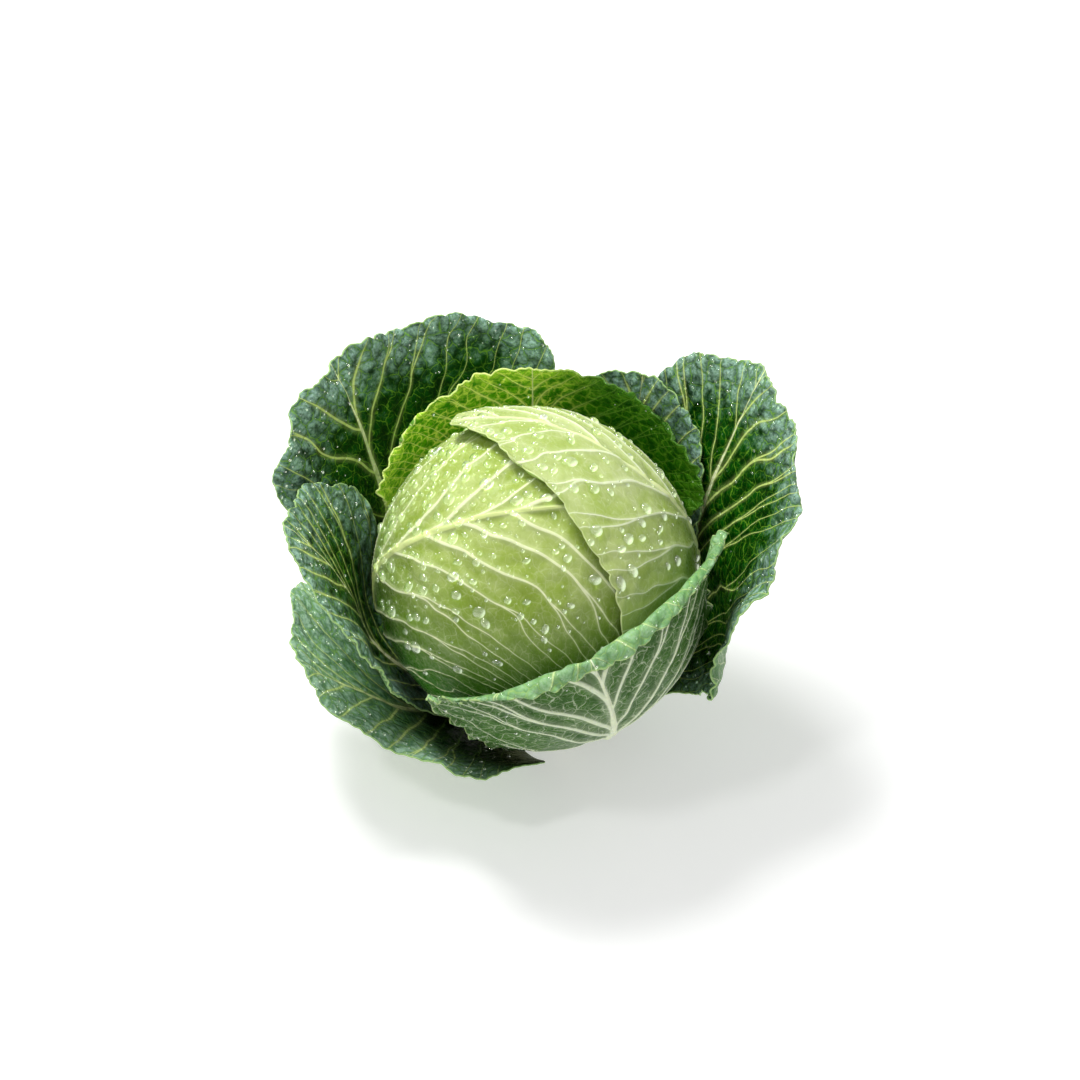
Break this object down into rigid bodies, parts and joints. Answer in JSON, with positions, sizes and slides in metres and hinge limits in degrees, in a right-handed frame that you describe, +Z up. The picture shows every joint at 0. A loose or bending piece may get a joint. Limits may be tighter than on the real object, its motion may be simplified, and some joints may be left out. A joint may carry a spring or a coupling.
{
  "type": "cabbage head",
  "caption": "Fresh green cabbage: a tight round head of closed leaves on a short cut stem, with open crinkled wrapper leaves standing round it.",
  "frame": {"origin": "middle of the stem's flat cut face, which the cabbage rests on", "axes": "+Z up through the head, along the stem; -Y to the front, where the pale wrapper leaf with the rolled margin is; +X to the right"},
  "size_m": [0.2621, 0.2252, 0.1932],
  "materials": {
    "stem": "pale cut plant stem, moist and fibrous",
    "heart": "pale yellow-green waxy leaf",
    "head_leaf": "waxy fresh green leaf with raised pale ribs",
    "head_leaf_pale": "waxy light green leaf with pale veins",
    "dark_leaf": "deep green leaf with blue-green bloom and pale vein network",
    "bright_leaf": "bright yellow-green crinkled leaf",
    "front_leaf": "pale grey-green underside with thick white ribs"
  },
  "bodies": {
    "root": {"stem": "stem", "heart": "heart", "head_leaf_left": "head_leaf", "head_leaf_right": "head_leaf_pale", "wrapper_leaf_right": "dark_leaf", "wrapper_leaf_back_left": "dark_leaf", "wrapper_leaf_left": "dark_leaf", "wrapper_leaf_lower_left": "dark_leaf", "wrapper_leaf_back": "dark_leaf", "wrapper_leaf_hood": "bright_leaf", "wrapper_leaf_front": "front_leaf"}
  },
  "joints": []
}
